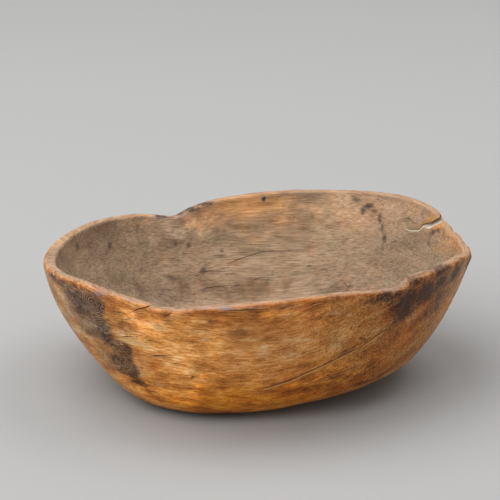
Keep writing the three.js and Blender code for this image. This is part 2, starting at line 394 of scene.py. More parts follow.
# Drying has also opened hairline checks along the grain. Each is a chain of places with half its width there,
# all in millimetres, and it closes where that is negative. Every point of the surface keeps its distance
# above the nearest check and how far that one is open.
CHECKS = [
    [(-3, -125, 34.5, -0.3), (7, -124, 36.3, 0.35), (25, -124, 42, 0.5), (41, -122, 49, 0.5),
     (65, -119, 60, 0.4), (81, -115, 67, 0.35), (94, -111, 75, 0.35), (108, -104, 84, -0.1)],
    [(22, -122, 35, -0.3), (53, -117, 41, 0.15), (81, -108, 48, 0.2), (98, -100, 53, -0.2)],
    [(-109, -108, 73.5, -0.2), (-105, -111, 74.5, 0.7), (-96, -118, 77, -0.1)],
    [(-91, -120, 74, -0.2), (-85, -123, 75.5, 0.5), (-79, -126, 76, -0.2)],
    [(-87, -117, 59.5, -0.2), (-80, -120, 61.5, 0.9), (-74, -123, 63, 0.6), (-68, -126, 63.5, -0.3)],
    [(-69, -124, 57, -0.2), (-65, -125, 57.5, 0.5), (-61, -126, 58, -0.2)],
    [(-118, -111, 96, -0.2), (-110, -117, 97.5, 0.4), (-102, -123, 99, -0.2)],
    [(-110, -115, 90, -0.2), (-103, -120, 93, 0.35), (-95, -126, 97, -0.2)],
    [(-89, -106, 25, -0.2), (-83, -109, 25, 0.5), (-78, -112, 24, -0.2)],
    [(-30, -148, 111.5, -0.2), (-10, -150, 112.5, 0.6), (10, -149, 113, -0.2)],
    [(-48, 119, 56, -0.2), (-35, 123, 56.2, 0.3), (-21, 126, 55.5, -0.2)],
    [(-34, 119, 48.5, -0.2), (-19, 123, 52, 0.3), (4, 128, 58, 0.5), (12, 128, 59, 0.5), (24, 127, 60, 0.2),
     (48, 123, 62.5, -0.2)],
    [(-58, 92, 33.5, -0.2), (-45, 98, 34.5, 0.3), (-30, 104, 34, 0.2), (-14, 108, 35, -0.2)],
    [(-32, 101, 31, -0.2), (-20, 104, 33.5, 0.25), (-9, 108, 34, -0.2)],
    [(-62, 106, 46, -0.2), (-43, 111, 45.5, 0.3), (-23, 116, 43, -0.2)],
    [(43, 116, 47.5, -0.2), (47, 115, 49, 0.5), (51, 114, 49, -0.2)],
    [(-6, 112, 36, -0.2), (1, 113, 38.5, 0.45), (9, 114, 39, -0.2)],
    [(78, 96, 42, -0.1), (82, 90, 38, 0.5), (85, 93, 43, -0.1)],
    [(129, 92, 102, -0.1), (134, 87, 104, 0.8), (140, 83, 104, -0.1)],
]
CHECK_REACH = 2.5
WALL_WINDOW = 9.0
SHUT = -1.0
NO_CHECK_NEAR = 20.0

wall_places = np.array([vertex.co[:] for vertex in bowl.data.vertices]) / MILLIMETRE
check_distance = np.full(len(wall_places), math.inf)
check_offset = np.full(len(wall_places), NO_CHECK_NEAR)
check_width = np.full(len(wall_places), SHUT)
for chain in CHECKS:
    for start, end in zip(chain, chain[1:]):
        course_x = end[0] - start[0]
        course_z = end[2] - start[2]
        length = math.hypot(course_x, course_z)
        from_x = wall_places[:, 0] - start[0]
        from_z = wall_places[:, 2] - start[2]
        gone = np.clip((from_x * course_x + from_z * course_z) / length**2, 0, 1)
        off_x = from_x - gone * course_x
        off_z = from_z - gone * course_z
        distance = np.hypot(off_x, off_z)
        same_wall = np.abs(wall_places[:, 1] - (start[1] + gone * (end[1] - start[1]))) < WALL_WINDOW
        closer = same_wall & (distance < check_distance)
        upwards = (off_z * course_x - off_x * course_z) * math.copysign(1, course_x)
        width = start[3] + gone * (end[3] - start[3])
        check_distance[closer] = distance[closer]
        check_offset[closer] = np.where(upwards < 0, -distance, distance)[closer]
        check_width[closer] = np.where(distance < CHECK_REACH, width, SHUT)[closer]
keep_on_surface("check_offset", check_offset * MILLIMETRE)
keep_on_surface("check_width", check_width * MILLIMETRE)


# Hand tools leave the surface uneven: long shallow waves, the flat-bottomed scoops of a gouge or adze,
# and an edge that years of handling have nibbled and rounded. The foot stays level.
SHARP_ANGLE = 50

relief = bpy.data.node_groups.new("hand_carving", "GeometryNodeTree")
relief.interface.new_socket("Geometry", in_out="INPUT", socket_type="NodeSocketGeometry")
relief.interface.new_socket("Geometry", in_out="OUTPUT", socket_type="NodeSocketGeometry")
relief_sizes = {}
for label, value in (
    ("Wave Length", 0.05),
    ("Wave Depth", 0.0007),
    ("Scoop Length", 0.024),
    ("Scoop Depth", 0.0004),
    ("Nibble Length", 0.007),
    ("Nibble Depth", 0.0006),
    ("Lip Width", 0.006),
):
    socket = relief.interface.new_socket(label, in_out="INPUT", socket_type="NodeSocketFloat")
    relief_sizes[socket.identifier] = value
material_socket = relief.interface.new_socket("Wood", in_out="INPUT", socket_type="NodeSocketMaterial")


def put(tree, kind, sockets=None, **settings):
    """Adds a node, with its settings, and with each named socket set to a value or joined to another."""
    made = tree.nodes.new(kind)
    for name, value in settings.items():
        setattr(made, name, value)
    for name, value in (sockets or {}).items():
        if isinstance(value, bpy.types.NodeSocket):
            tree.links.new(value, made.inputs[name])
        else:
            made.inputs[name].default_value = value
    return made


def work_out(tree, operation, *terms):
    """A Math node's result."""
    return put(tree, "ShaderNodeMath", dict(enumerate(terms)), operation=operation).outputs[0]


def product(tree, first, *others):
    """All the values multiplied together."""
    for other in others:
        first = work_out(tree, "MULTIPLY", first, other)
    return first


entry = relief.nodes.new("NodeGroupInput")
uncarved = put(relief, "GeometryNodeInputPosition").outputs[0]
facing = put(relief, "GeometryNodeInputNormal").outputs[0]
from_crest = put(
    relief,
    "GeometryNodeInputNamedAttribute",
    {"Name": "below_crest"},
    data_type="FLOAT",
).outputs[0]


def relief_noise(length, detail, seed_shift):
    """Noise from -1 to 1 whose features are about as long as length."""
    scale = work_out(relief, "DIVIDE", 1.0, entry.outputs[length])
    shifted = put(relief, "ShaderNodeVectorMath", {0: uncarved, 1: seed_shift}, operation="ADD").outputs[0]
    sockets = {"Vector": shifted, "Scale": scale, "Detail": detail}
    drawn = put(relief, "ShaderNodeTexNoise", sockets).outputs[0]
    return work_out(relief, "MULTIPLY_ADD", drawn, 2.0, -1.0)


waves = product(relief, relief_noise("Wave Length", 1.0, (3.1, 0.4, 7.7)), entry.outputs["Wave Depth"])
scoop_scale = work_out(relief, "DIVIDE", 1.0, entry.outputs["Scoop Length"])
scoops = put(
    relief,
    "ShaderNodeTexVoronoi",
    {"Vector": uncarved, "Scale": scoop_scale, "Smoothness": 0.35},
    feature="SMOOTH_F1",
).outputs["Distance"]
scoops = product(relief, work_out(relief, "SUBTRACT", scoops, 0.5), entry.outputs["Scoop Depth"])
on_lip = put(
    relief,
    "ShaderNodeMapRange",
    {"Value": from_crest, "From Min": entry.outputs["Lip Width"], "From Max": 0.0},
    interpolation_type="SMOOTHSTEP",
).outputs[0]
nibbles = relief_noise("Nibble Length", 2.0, (9.2, 5.5, 1.3))
nibbles = product(relief, nibbles, on_lip, entry.outputs["Nibble Depth"])
carve_depth = work_out(relief, "ADD", work_out(relief, "ADD", waves, scoops), nibbles)
offset = put(relief, "ShaderNodeVectorMath", {0: facing, "Scale": carve_depth}, operation="SCALE").outputs[0]
carved = put(relief, "GeometryNodeSetPosition", {"Geometry": entry.outputs["Geometry"], "Offset": offset})
carved_place = put(relief, "GeometryNodeInputPosition").outputs[0]
parts = put(relief, "ShaderNodeSeparateXYZ", {0: carved_place}).outputs
level = work_out(relief, "MAXIMUM", parts[2], 0.0)
levelled = put(relief, "ShaderNodeCombineXYZ", {0: parts[0], 1: parts[1], 2: level}).outputs[0]
grounded = put(relief, "GeometryNodeSetPosition", {"Geometry": carved.outputs[0], "Position": levelled})
real = put(relief, "GeometryNodeRealizeInstances", {"Geometry": grounded.outputs[0]})
finish = {"Geometry": real.outputs[0], "Material": entry.outputs["Wood"]}
dressed = put(relief, "GeometryNodeSetMaterial", finish)
put(relief, "NodeGroupOutput", {0: dressed.outputs[0]})

carving = bowl.modifiers.new("hand_carving", "NODES")
carving.node_group = relief
for identifier, value in relief_sizes.items():
    carving[identifier] = value
carving[material_socket.identifier] = wood
settle(bowl, "carved_bowl")
bowl.data.polygons.foreach_set("use_smooth", [True] * len(bowl.data.polygons))
bowl.data.set_sharp_from_angle(angle=math.radians(SHARP_ANGLE))

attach(bowl, "root")
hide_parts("bowl")


# Age has coloured the wood unevenly: tinted washes, dark end grain, stains and pale worn places. Some of the
# washes are painted light and shade instead: a lit band and a shaded ledge under the long check, shade along
# the lower edge, low on the inside and on the left inner wall, and light on the upper inside at the right.
# The lip has painted shade at the back left and a painted sheen along the front. Each is laid on the surface
# round a middle, out to a reach along each axis, in millimetres. A wash ends with what it multiplies the
# colour by, and any other patch with its strength.
OUTSIDE_WASHES_AND_PAINTED_LIGHT = [
    ((-66, -130, 75), (50, 60, 34), (1.6, 1.82, 2.25)),
    ((0, -118, 18), (140, 50, 26), (1.06, 0.88, 0.27)),
    ((80, -100, 36), (60, 50, 16), (1.02, 0.95, 0.6)),
    ((120, -100, 85), (75, 80, 75), (0.66, 0.63, 0.53)),
    ((122, -98, 98), (32, 28, 24), (1.15, 0.85, 0.36)),
    # These four lighten a band below the long check, as a painted highlight where it faces the light.
    ((28, -122, 37), (13, 10, 3.2), (1.16, 1.14, 0.9)),
    ((46, -120, 43), (13, 10, 3.2), (1.18, 1.16, 0.95)),
    ((64, -116, 49), (13, 10, 3.2), (1.18, 1.16, 0.95)),
    ((82, -111, 56), (13, 10, 3.4), (1.16, 1.14, 0.95)),
    # These four darken the ledge below that band, as painted shade.
    ((30, -119, 29), (14, 10, 2.6), (0.62, 0.54, 0.44)),
    ((48, -117, 34), (14, 10, 2.6), (0.56, 0.48, 0.38)),
    ((66, -112, 40), (14, 10, 2.8), (0.56, 0.48, 0.38)),
    ((84, -106, 46), (14, 10, 3.0), (0.6, 0.52, 0.44)),
    ((10, -122, 32), (24, 10, 2.6), (1.25, 1.15, 0.7)),
    ((-70, -114, 27), (30, 18, 10), (1.5, 1.65, 2.1)),
    ((-22, -126, 33), (22, 14, 10), (0.9, 0.86, 0.6)),
    ((110, -92, 64), (30, 28, 26), (1.12, 0.98, 0.68)),
    ((-28, -134, 78), (12, 12, 8), (0.96, 0.9, 0.66)),
    ((-5, -134, 79), (9, 12, 9), (0.84, 0.76, 0.52)),
    ((-137, -84, 74), (17, 20, 17), (0.56, 0.54, 0.55)),
    ((-126, -88, 57), (17, 20, 15), (0.6, 0.57, 0.58)),
    ((-108, -98, 43), (18, 20, 11), (0.64, 0.6, 0.6)),
    ((-98, -110, 56), (16, 14, 12), (0.78, 0.71, 0.64)),
    ((-76, -121, 58), (24, 14, 8), (0.87, 0.79, 0.66)),
    ((-80, -131, 93), (28, 16, 14), (1.45, 1.5, 1.65)),
    ((-106, -121, 102), (24, 14, 7), (1.2, 1.18, 1.2)),
    ((-48, -124, 44), (18, 12, 9), (1.25, 1.25, 1.2)),
    ((20, -124, 50), (14, 10, 12), (1.16, 1.18, 1.18)),
    ((20, -147, 110), (16, 8, 5), (1.25, 1.25, 1.25)),
    # Painted shade at the lower front edge, where the underside meets the floor.
    ((50, -112, 32), (26, 12, 7), (0.78, 0.74, 0.7)),
    ((22, -143, 105), (30, 12, 9), (1.55, 1.68, 2.0)),
    ((60, -135, 104), (22, 12, 8), (1.3, 1.36, 1.45)),
    ((58, -125, 76), (18, 12, 10), (0.78, 0.72, 0.64)),
    ((40, -125, 64), (20, 12, 8), (0.84, 0.79, 0.72)),
    # Painted shade along the lower right edge, where the underside meets the floor.
    ((92, -84, 34), (42, 26, 12), (0.78, 0.72, 0.66)),
    ((-165, -40, 75), (34, 70, 80), (0.78, 0.98, 1.55)),
    ((-132, -90, 78), (34, 34, 50), (0.94, 1.24, 1.92)),
    ((0, -147, 105), (62, 16, 12), (0.9, 0.8, 0.62)),
    ((20, -132, 74), (75, 20, 13), (1.08, 1.18, 1.5)),
    ((40, 140, 60), (90, 60, 45), (1.15, 1.2, 1.3)),
    ((-60, 120, 40), (60, 60, 30), (0.8, 0.75, 0.6)),
]
INSIDE_WASHES_AND_PAINTED_LIGHT = [
    ((-22, 138, 97), (66, 30, 22), (1.8, 1.5, 1.13)),
    ((60, 128, 92), (50, 30, 22), (1.12, 1.12, 1.05)),
    ((-10, 140, 100), (36, 24, 12), (1.1, 1.0, 0.85)),
    ((46, 138, 98), (15, 20, 14), (1.28, 1.23, 1.18)),
    ((-112, 104, 98), (26, 14, 8), (1.28, 1.27, 1.22)),
    ((112, 110, 96), (13, 20, 10), (0.8, 0.76, 0.74)),
    ((-45, 129, 80), (16, 16, 10), (1.2, 1.22, 1.25)),
    # Painted light on the upper inside at the right, which faces the lamps.
    ((95, 118, 105), (75, 45, 24), (1.52, 1.46, 1.43)),
    ((-140, 50, 75), (55, 90, 50), (0.98, 1.03, 1.02)),
    ((0, 115, 62), (90, 40, 24), (1.2, 1.22, 1.2)),
    # These six are painted shade: low on the inside, in the front wall's shadow, and on the left inner wall,
    # which faces away from the lamps.
    ((-20, 104, 32), (60, 30, 14), (0.9, 0.86, 0.80)),
    ((-50, 96, 34), (60, 24, 8), (0.8, 0.77, 0.74)),
    ((-118, 76, 56), (34, 30, 18), (0.74, 0.72, 0.70)),
    ((-90, 80, 38), (30, 24, 12), (0.68, 0.66, 0.65)),
    ((-4, 98, 34), (32, 20, 10), (0.84, 0.81, 0.79)),
    ((80, 88, 34), (30, 20, 10), (0.8, 0.77, 0.75)),
    ((-100, 106, 88), (46, 24, 18), (1.55, 1.6, 1.68)),
    ((-62, 124, 86), (24, 16, 14), (1.22, 1.3, 1.42)),
    ((-158, 45, 91), (14, 24, 14), (1.2, 1.2, 1.2)),
    # Painted shade low on the inside, in the front wall's shadow.
    ((6, 106, 33), (18, 14, 6), (0.84, 0.77, 0.70)),
    ((135, 50, 70), (50, 70, 50), (0.87, 0.89, 0.9)),
    ((60, 60, 40), (60, 50, 30), (0.86, 0.86, 0.88)),
    ((166, 35, 104), (26, 60, 16), (1.35, 1.13, 0.86)),
    ((148, 76, 112), (20, 18, 9), (1.4, 1.28, 1.1)),
    ((162, 48, 104), (14, 18, 12), (1.15, 1.1, 1.0)),
]
DARK_OUTSIDE = [
    ((-150, -84, 100), (20, 20, 14), 0.5),
    ((-137, -95, 96), (21, 26, 19), 0.88),
    ((-129, -103, 99), (11, 16, 14), 1.1),
    ((-125, -100, 80), (11, 14, 13), 0.95),
    ((-120, -99, 68), (9, 14, 12), 0.85),
    ((-112, -104, 62), (12, 14, 11), 0.7),
    ((-104, -108, 60), (7, 12, 12), 0.85),
    ((-107, -102, 49), (13, 14, 12), 1.1),
    ((-101, -104, 43), (10, 12, 10), 1.25),
    ((-105, -101, 38), (12, 12, 5), 1.0),
    ((-96, -103, 31), (12, 10, 3), 0.9),
    # These two are painted shade on the outer back of the lip at the left, seen past the crest.
    ((-55, 138, 98), (26, 12, 5), 1.0),
    ((-80, 122, 97), (14, 12, 5), 0.9),
    ((-166, -60, 106), (12, 14, 4), 0.8),
    ((-159, -72, 105), (8, 10, 4), 0.8),
    ((118, -105, 102), (22, 20, 16), 1.05),
    ((116, -101, 92), (15, 18, 12), 1.05),
    ((134, -92, 103), (18, 16, 14), 1.1),
    ((148, -80, 108), (16, 14, 9), 1.0),
    ((148, -68, 92), (24, 20, 26), 0.5),
    ((164, -58, 108), (14, 14, 10), 1.0),
    ((177, -22, 104), (8, 20, 12), 1.15),
    ((98, -120, 112), (18, 12, 8), 0.75),
    ((-52, -125, 45), (2.4, 5, 1.8), 1.0),
    ((83, -117, 75), (4, 7, 2), 0.8),
    ((-128, 92, 82), (26, 24, 24), 0.8),
    ((134, 88, 88), (26, 24, 20), 0.8),
]
# The first four are painted shade on the back left of the lip; the last three are dark stains on the rim at
# the right end.
DARK_RIM_AND_PAINTED_SHADE = [
    ((-83, 119, 98), (12, 8, 3), 1.2),
    ((-74, 125, 98), (10, 8, 3), 1.2),
    ((-65, 130, 100), (14, 8, 3), 1.3),
    ((-48, 136, 103), (12, 8, 3), 1.0),
    ((122, -104, 119), (14, 12, 5), 0.8),
    ((146, -80, 120), (18, 16, 5), 0.9),
    ((164, -56, 117), (14, 14, 5), 0.55),
]
BROWN_OUTSIDE = [
    ((-14, -141, 90), (12, 10, 6), 0.8),
    ((44, -140, 108), (14, 10, 6), 0.4),
    ((62, -134, 104), (16, 10, 9), 0.4),
    ((-36, -144, 101), (5, 6, 3), 0.9),
    ((-87, -107, 25), (10, 8, 3), 0.8),
    ((-14, -149, 110.5), (34, 6, 1.6), 0.6),
    ((20, -122, 32), (40, 8, 3), 0.7),
    ((84, -97, 28), (14, 12, 3), 0.9),
    ((98, -88, 30.5), (12, 12, 3), 0.7),
    ((-148, -86, 92), (18, 18, 22), 0.7),
    ((-104, -117, 84), (10, 12, 8), 0.6),
]
BROWN_INSIDE = [
    ((10, 111, 37), (12, 9, 7), 0.45),
    ((-2, 112, 38), (8, 6, 3), 0.4),
    ((101, 96, 61), (12, 9, 8), 0.35),
    ((130, 92, 105), (5, 8, 5), 0.4),
]
PALE_OUTSIDE = [
    ((-99, -115, 71), (13, 9, 3.4), 1.4),
    ((-88, -119, 69), (9, 8, 2.4), 0.9),
    ((-42, -137, 83), (7, 7, 4), 0.7),
    ((-4, -138, 83), (10, 7, 4), 0.6),
    ((36, -132, 80), (16, 7, 3), 0.85),
    ((-77, -131, 91), (14, 9, 6), 0.7),
    ((62, -129, 87), (13, 7, 3), 0.5),
    ((-80, -132, 93), (22, 14, 8), 0.55),
    ((-58, -135, 93), (14, 12, 7), 0.45),
    ((-60, -118, 28), (26, 14, 6), 0.4),
    ((22, -144, 106), (20, 12, 6), 0.4),
    ((60, -136, 105), (14, 10, 5), 0.5),
    ((-44, -125, 43), (12, 10, 5), 0.5),
    ((21, -135, 81), (10, 8, 5), 0.4),
    ((-78, -114, 34), (14, 12, 5), 0.45),
    ((-67, -131, 82), (12, 10, 6), 0.45),
]
PALE_INSIDE = [((-149, 60, 85), (3, 5, 5), 0.4)]
INK_INSIDE = [
    ((6, 142, 105), (3, 5, 3), 1.7),
    ((-74, 114, 71), (3, 5, 4), 0.7),
    ((-62, 118, 68), (3.4, 5, 3), 0.8),
    ((-32, 127, 60), (3, 5, 3), 0.7),
    ((-49, 111, 47), (3, 5, 3), 0.75),
    ((-36, 133, 77), (2.6, 5, 2.4), 0.7),
    ((14, 117, 43), (2.2, 5, 3), 0.6),
    ((89, 123, 110.5), (7, 6, 4.5), 0.65),
    ((95, 118, 101), (3, 6, 5), 0.8),
    ((101, 117, 106.5), (6, 6, 3.4), 0.95),
    ((105, 114, 104), (3, 6, 4), 0.8),
    ((110, 108, 97), (2.2, 6, 6), 0.85),
    ((112, 104, 90), (1.8, 6, 7), 0.8),
    ((114, 98, 81.5), (3, 6, 7), 1.05),
    ((112, 96, 74), (2.2, 6, 5), 0.75),
    ((146, 79, 113), (4, 6, 4), 0.8),
    ((153, 63, 99), (3.6, 6, 4), 1.05),
    ((150, 62, 92), (2.2, 6, 7), 0.9),
    ((158, 59, 103), (4, 6, 3), 0.75),
    ((-157, 50, 93), (4, 7, 5), 0.75),
    ((-131, 82, 82), (3.2, 6, 5), 0.75),
    ((-170, 13, 99), (5, 9, 6), 0.55),
    ((-90, 100, 57), (2.6, 5, 3), 0.55),
]
# Painted sheen: greyish patches standing for light reflected off the polished lip, mostly along its front.
RIM_PAINTED_SHEEN = [
    ((-124, -110, 111), (16, 10, 3.5), 0.7),
    ((-100, -126, 111), (12, 8, 2), 0.6),
    ((-62, -139, 111), (12, 6, 2), 0.9),
    ((-44, -145, 112.5), (14, 5, 1.8), 0.8),
    ((-26, -148, 113.5), (14, 5, 1.8), 0.8),
    ((-6, -149, 114.5), (14, 5, 1.6), 0.6),
    ((60, -137, 119), (30, 8, 2), 0.4),
    ((104, -114, 117), (12, 10, 3), 0.5),
    ((130, -90, 121), (26, 26, 3), 0.25),
    ((-73, -123, 61.5), (5, 6, 1.3), 0.7),
    ((-70, 120, 96), (30, 10, 6), 0.4),
]

# Borders wander by a fractal noise: its scale, then how fast it falls off, its step in size and its octaves.
# A wash wanders further than a patch. Both fade out a little beyond their reach.
WANDER_SCALE = 55
WANDER_NOISE = (0.8, 2.0, 4)
WASH_WANDER = 0.03
PATCH_WANDER = 0.004
OUTER_LIMIT = 1.25

surface = np.zeros(len(bowl.data.vertices) * 3)
bowl.data.vertices.foreach_get("co", surface)
surface = surface.reshape(-1, 3)
indoors = np.zeros(len(surface))
bowl.data.attributes["inside"].data.foreach_get("value", indoors)
outdoors = 1 - indoors
wandering = np.array([noise.fractal(Vector(point) * WANDER_SCALE, *WANDER_NOISE) for point in surface])


def closeness(middle, reach, wander):
    """1 near the middle of a patch, a quarter at its reach and 0 at its limit, with an uneven border."""
    away = np.linalg.norm((surface - np.array(middle) * MILLIMETRE) / (np.array(reach) * MILLIMETRE), axis=1)
    away += wandering * wander / (np.linalg.norm(reach) * MILLIMETRE)
    return np.clip(OUTER_LIMIT - away, 0, 1)


def paint(label, *layers):
    """Keeps the strongest of the patches on each side of the wall as a named value of the surface."""
    field = np.zeros(len(surface))
    for side, patches in layers:
        for middle, reach, strength in patches:
            field = np.maximum(field, closeness(middle, reach, PATCH_WANDER) * strength * side)
    keep_on_surface(label, field)


wash_and_painted_light = np.ones((len(surface), 3))
for side, washes_and_painted_light in ((outdoors, OUTSIDE_WASHES_AND_PAINTED_LIGHT), (indoors, INSIDE_WASHES_AND_PAINTED_LIGHT)):
    for middle, reach, multiplier in washes_and_painted_light:
        soft = closeness(middle, reach, WASH_WANDER)
        soft = soft * soft * (3 - 2 * soft) * side
        wash_and_painted_light *= 1 + soft[:, None] * (np.array(multiplier) - 1)
bowl.data.attributes.new("wash_and_painted_light", "FLOAT_VECTOR", "POINT").data.foreach_set("vector", wash_and_painted_light.ravel())
paint("darkened", (outdoors, DARK_OUTSIDE), (1, DARK_RIM_AND_PAINTED_SHADE))
paint("browned", (outdoors, BROWN_OUTSIDE), (indoors, BROWN_INSIDE))
paint("paled", (outdoors, PALE_OUTSIDE), (indoors, PALE_INSIDE))
paint("inked", (indoors, INK_INSIDE))
paint("painted_sheen", (1, RIM_PAINTED_SHEEN))


# The timber is orange-brown and close-grained. Its fibres run along X and sweep upwards past the middle.
# Outside, handling has polished it; inside, food and washing have left it grey-brown and dry.
wood.use_nodes = True
tree = wood.node_tree
skin = tree.nodes["Principled BSDF"]


def shader_group(name, inputs, outputs):
    """A shader group with named inputs, each a label, a kind of socket and a value, and named outputs."""
    group = bpy.data.node_groups.new(name, "ShaderNodeTree")
    for label, kind, value in inputs:
        socket = group.interface.new_socket(label, in_out="INPUT", socket_type="NodeSocket" + kind)
        socket.default_value = value
    for label, kind in outputs:
        group.interface.new_socket(label, in_out="OUTPUT", socket_type="NodeSocket" + kind)
    return group, group.nodes.new("NodeGroupInput").outputs


def use_group(tree, group, sockets):
    """Places a group in a tree, and returns its first output."""
    return put(tree, "ShaderNodeGroup", sockets, node_tree=group).outputs[0]


def vector_step(tree, operation, *terms):
    """A Vector Math node's result, which is a number for a length or a dot product."""
    made = put(tree, "ShaderNodeVectorMath", dict(enumerate(terms)), operation=operation)
    return made.outputs[1] if operation in ("LENGTH", "DOT_PRODUCT", "DISTANCE") else made.outputs[0]


def fade(tree, value, low, high, to_low=0.0, to_high=1.0):
    """Passes smoothly from to_low, where value is low, to to_high, where it is high."""
    sockets = {"Value": value, "From Min": low, "From Max": high, "To Min": to_low, "To Max": to_high}
    return put(tree, "ShaderNodeMapRange", sockets, interpolation_type="SMOOTHSTEP").outputs[0]


def ranged(tree, share, at_none, at_full):
    """Runs in a straight line from at_none, where the share is 0, to at_full, where it is 1."""
    return work_out(tree, "MULTIPLY_ADD", share, at_full - at_none, at_none)


def tint(tree, share, under, over, blend="MIX"):
    """Lays one colour over another by a share from 0 to 1."""
    made = put(tree, "ShaderNodeMix", {0: share, 6: under, 7: over}, data_type="RGBA", blend_type=blend)
    return made.outputs[2]


def shades(tree, value, *stops):
    """A colour that passes through the stops, each a value and a colour."""
    made = put(tree, "ShaderNodeValToRGB", {0: value})
    line = made.color_ramp.elements
    while len(line) < len(stops):
        line.new(0.5)
    for mark, (position, colour) in zip(line, stops):
        mark.position = position
        mark.color = (*colour, 1)
    return made.outputs[0]


# Fibres climb past the middle by a slope that starts at SLOPE and steepens by STEEPENING for each metre.
SLOPE = 0.14
STEEPENING = 2.0
fibre_course, given = shader_group(
    "fibre_course",
    [
        ("Place", "Vector", (0, 0, 0)),
        ("Sweep", "Float", 1.0),
        ("Depth", "Float", 1.0),
        ("Wander", "Float", 0.006),
    ],
    [("Fibre", "Vector")],
)
x, y, z = put(fibre_course, "ShaderNodeSeparateXYZ", {0: given["Place"]}).outputs
past_middle = work_out(fibre_course, "MAXIMUM", x, 0.0)
climb = work_out(fibre_course, "MULTIPLY_ADD", past_middle, STEEPENING, SLOPE)
climb = product(fibre_course, climb, past_middle, given["Sweep"])
sockets = {"Vector": given["Place"], "Scale": 14.0, "Detail": 1.5}
drift = put(fibre_course, "ShaderNodeTexNoise", sockets).outputs[1]
sockets = {0: vector_step(fibre_course, "SUBTRACT", drift, (0.5, 0.5, 0.5)), "Scale": given["Wander"]}
drift = put(fibre_course, "ShaderNodeVectorMath", sockets, operation="SCALE").outputs[0]
squeezed = product(fibre_course, y, given["Depth"])
unswept = work_out(fibre_course, "SUBTRACT", z, climb)
straight = put(fibre_course, "ShaderNodeCombineXYZ", {0: x, 1: squeezed, 2: unswept}).outputs[0]
put(fibre_course, "NodeGroupOutput", {0: vector_step(fibre_course, "ADD", straight, drift)})

fibre_noise, given = shader_group(
    "fibre_noise",
    [
        ("Fibre", "Vector", (0, 0, 0)),
        ("Length", "Float", 0.02),
        ("Thickness", "Float", 0.002),
        ("Detail", "Float", 2.0),
        ("Shift", "Vector", (0, 0, 0)),
    ],
    [("Value", "Float")],
)
along = work_out(fibre_noise, "DIVIDE", 1.0, given["Length"])
across = work_out(fibre_noise, "DIVIDE", 1.0, given["Thickness"])
stretch = put(fibre_noise, "ShaderNodeCombineXYZ", {0: along, 1: across, 2: across}).outputs[0]
stretched = vector_step(fibre_noise, "MULTIPLY", given["Fibre"], stretch)
stretched = vector_step(fibre_noise, "ADD", stretched, given["Shift"])
drawn = put(fibre_noise, "ShaderNodeTexNoise", {"Vector": stretched, "Scale": 1.0, "Detail": given["Detail"]})
put(fibre_noise, "NodeGroupOutput", {0: drawn.outputs[0]})

grown_rings, given = shader_group(
    "grown_rings",
    [
        ("Place", "Vector", (0, 0, 0)),
        ("Centre", "Vector", (0, 0, 0)),
        ("Spacing", "Float", 0.0025),
        ("Wander", "Float", 0.003),
    ],
    [("Lines", "Float")],
)
sockets = {"Vector": given["Place"], "Scale": 110.0, "Detail": 2.0}
waver = put(grown_rings, "ShaderNodeTexNoise", sockets).outputs[0]
waver = product(grown_rings, work_out(grown_rings, "SUBTRACT", waver, 0.5), given["Wander"])
ring = vector_step(grown_rings, "DISTANCE", given["Place"], given["Centre"])
ring = work_out(grown_rings, "DIVIDE", work_out(grown_rings, "ADD", ring, waver), given["Spacing"])
ring = work_out(grown_rings, "PINGPONG", ring, 0.5)
sockets = {"Vector": given["Place"], "Scale": 260.0, "Detail": 1.0}
broken = put(grown_rings, "ShaderNodeTexNoise", sockets).outputs[0]
line_here = product(grown_rings, fade(grown_rings, ring, 0.2, 0.06), fade(grown_rings, broken, 0.34, 0.5))
put(grown_rings, "NodeGroupOutput", {0: line_here})

place = put(tree, "ShaderNodeTexCoord").outputs["Object"]


def painted(label):
    """A value kept on the surface."""
    return put(tree, "ShaderNodeAttribute", attribute_name=label).outputs["Fac"]


within = painted("inside")
edge_distance = painted("below_crest")
course = {"Sweep": ranged(tree, within, 1.0, 0.3), "Depth": ranged(tree, within, 0.3, 0.45)}
fibre = use_group(tree, fibre_course, {"Place": place, **course})


def fibres(length, thickness, detail, shift):
    """Noise in long threads along the grain, by their length and thickness in millimetres."""
    sizes = {"Length": length * MILLIMETRE, "Thickness": thickness * MILLIMETRE}
    return use_group(tree, fibre_noise, {"Fibre": fibre, **sizes, "Detail": detail, "Shift": shift})


def blotches(size, detail, spread):
    """Noise from -spread / 2 to spread / 2 without a direction, by its size in millimetres."""
    sockets = {"Vector": place, "Scale": 1 / (size * MILLIMETRE), "Detail": detail, "Roughness": 0.6}
    drawn = put(tree, "ShaderNodeTexNoise", sockets).outputs[0]
    return work_out(tree, "MULTIPLY_ADD", drawn, spread, -spread / 2)


broad = fibres(90, 40, 2, (1.3, 7.1, 2.9))
cloud = fibres(21, 8.5, 3, (5.9, 1.1, 6.4))
streak = fibres(18, 1.7, 2, (8.2, 0.7, 5.3))
fleck = fibres(6, 0.95, 2, (4.4, 3.8, 9.1))
speck = fibres(2.4, 0.9, 2, (2.6, 6.3, 0.8))
hair = fibres(34, 1.0, 1, (7.7, 2.2, 3.4))
ragged = blotches(5, 4, 1.0)


def weighed(*pairs):
    """Each value's distance from a half, times its weight, all added to a half."""
    total = 0.5
    for value, weight in pairs:
        centred = work_out(tree, "SUBTRACT", value, 0.5)
        total = work_out(tree, "MULTIPLY_ADD", centred, weight, total)
    return total


